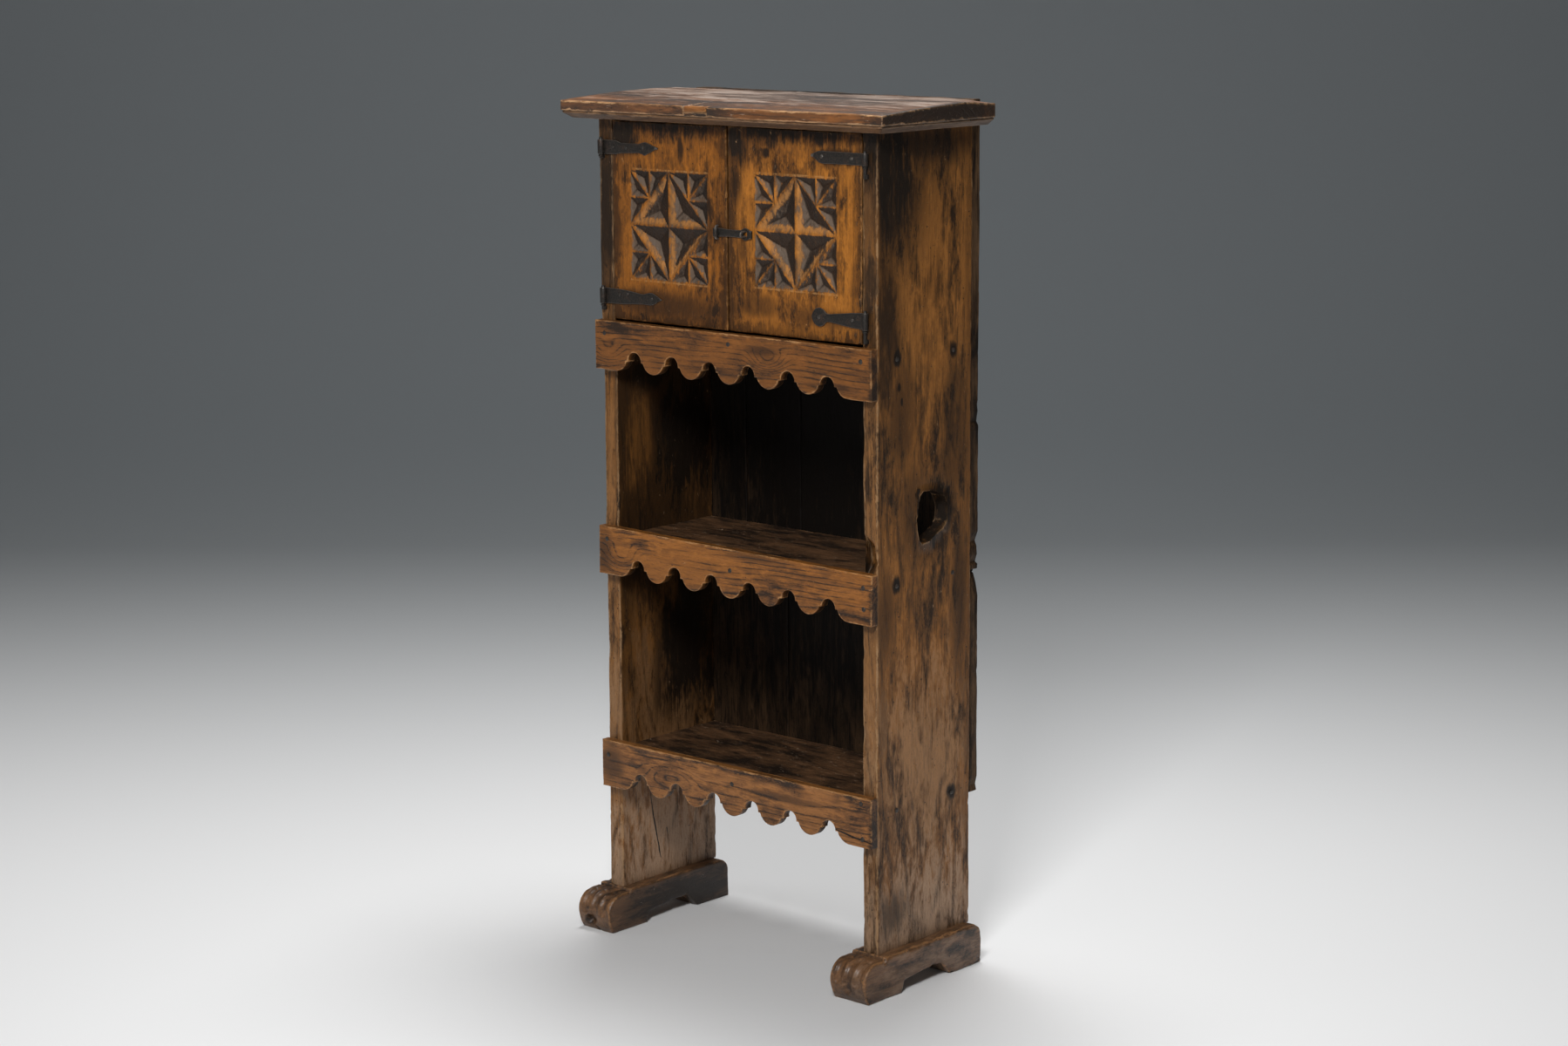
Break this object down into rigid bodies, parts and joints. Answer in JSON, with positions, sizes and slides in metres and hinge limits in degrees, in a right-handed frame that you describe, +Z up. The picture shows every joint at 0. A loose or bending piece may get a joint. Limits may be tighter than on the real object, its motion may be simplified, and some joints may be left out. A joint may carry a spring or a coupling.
{
  "type": "cupboard",
  "caption": "Narrow free-standing cupboard: chip-carved doors on strap hinges under a moulded top, open shelves with scalloped aprons below, on sledge feet.",
  "frame": {"origin": "on the floor, at the middle of the cupboard's whole width and depth", "axes": "+Z up, the doors face -Y, +X to the right of someone who faces the doors"},
  "size_m": [0.692, 0.3168, 1.426],
  "materials": {
    "side_wood": "worn and waxed, with a brown patina and lighter edges",
    "door_wood": "worn and waxed, chip-carved, grey-black in the pits",
    "apron_wood": "warm brown with strong dark grain",
    "top_wood": "grey-brown and scuffed above, honey-coloured at the front edge",
    "shelf_wood": "dark brown with pale flecks",
    "back_wood": "very dark, unpolished",
    "foot_wood": "dark brown, wormed, reddish on the worn edges",
    "moulding_wood": "worn and waxed brown",
    "wrought_iron": "hammered, near black, rubbed bright on its edges",
    "nail_iron": "hand-forged heads, near black"
  },
  "bodies": {
    "carcass": {"apron_nails": "nail_iron", "back_nails": "nail_iron", "cornice_brads": "nail_iron", "cornice_front": "moulding_wood", "cornice_left": "moulding_wood", "cornice_right": "moulding_wood", "cupboard_floor": "shelf_wood", "left_bottom_pintle": "wrought_iron", "left_foot": "foot_wood", "left_side": "side_wood", "left_top_pintle": "wrought_iron", "lower_apron": "apron_wood", "lower_back_board_1": "back_wood", "lower_back_board_2": "back_wood", "lower_back_board_3": "back_wood", "lower_shelf": "shelf_wood", "middle_apron": "apron_wood", "middle_shelf": "shelf_wood", "right_bottom_pintle": "wrought_iron", "right_foot": "foot_wood", "right_side": "side_wood", "right_top_pintle": "wrought_iron", "side_nails": "nail_iron", "top_board_left": "top_wood", "top_board_right": "top_wood", "top_nails": "nail_iron", "top_patch": "top_wood", "upper_apron": "apron_wood", "upper_back_board_1": "back_wood", "upper_back_board_2": "back_wood", "upper_back_board_3": "back_wood", "upper_back_board_4": "back_wood"},
    "left_leaf": {"left_door": "door_wood", "left_top_strap": "wrought_iron", "left_bottom_strap": "wrought_iron", "left_strap_nails": "nail_iron", "hasp_pivot_staple": "wrought_iron"},
    "right_leaf": {"right_door": "door_wood", "right_top_strap": "wrought_iron", "right_bottom_strap": "wrought_iron", "right_strap_nails": "nail_iron", "hasp_catch_staple": "wrought_iron"},
    "hasp_link": {"hasp": "wrought_iron"}
  },
  "joints": [
    {"name": "left_door_hinge", "type": "hinge", "parent": "carcass", "child": "left_leaf", "pos_m": [-0.29, -0.1057, 1.34], "axis": [0, 0, -1], "range_deg": [0, 175]},
    {"name": "right_door_hinge", "type": "hinge", "parent": "carcass", "child": "right_leaf", "pos_m": [0.28, -0.1057, 1.344], "axis": [0, 0, 1], "range_deg": [0, 175]},
    {"name": "hasp_hinge", "type": "hinge", "parent": "left_leaf", "child": "hasp_link", "pos_m": [-0.034, -0.10535, 1.2135], "axis": [0, 0, -1], "range_deg": [0, 170]}
  ]
}
